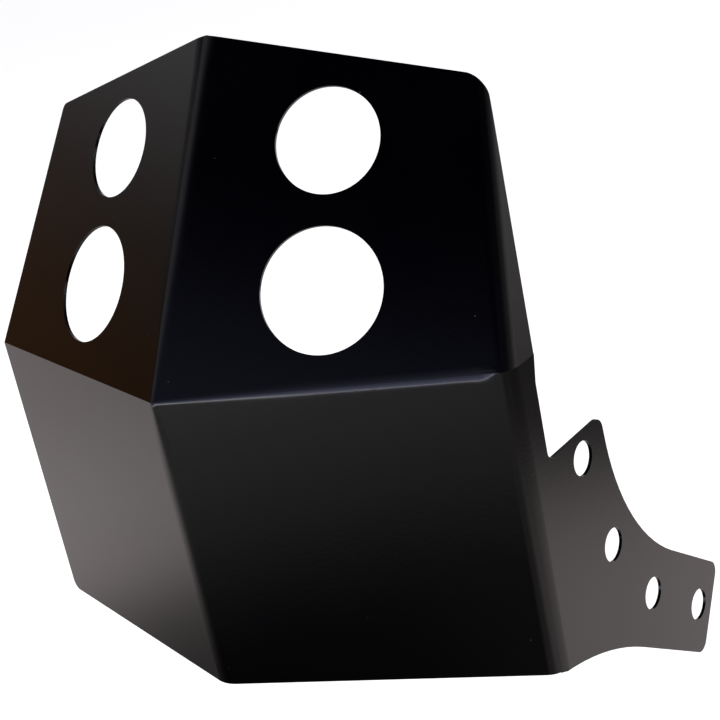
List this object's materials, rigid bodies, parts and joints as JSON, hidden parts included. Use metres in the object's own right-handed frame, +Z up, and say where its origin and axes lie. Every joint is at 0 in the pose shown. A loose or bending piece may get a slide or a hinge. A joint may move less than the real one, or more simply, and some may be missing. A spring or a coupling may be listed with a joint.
{
  "type": "motorcycle skid plate",
  "caption": "Skid plate folded from one black coated steel sheet, with round vent holes in its upper panels and a side ear with round mounting holes.",
  "frame": {"origin": "centre of mounting hole 1, the uppermost of the four in the ear, halfway through the sheet", "axes": "As the plate stands up in the picture: X along the cross fold towards the ear, Y back behind the plate towards the motorcycle, Z up along the lower panels, away from the rear edge. On the motorcycle the plate is turned about X, so that the lower centre panel lies level under the engine and -Y faces the ground. It can't stand on its ear's tip, so it is held by mounting hole 1."},
  "size_m": [0.4228, 0.1826, 0.44],
  "materials": {
    "coated_sheet": "satin black powder coat, fine orange peel"
  },
  "bodies": {
    "root": {"skid_plate": "coated_sheet"}
  },
  "joints": []
}
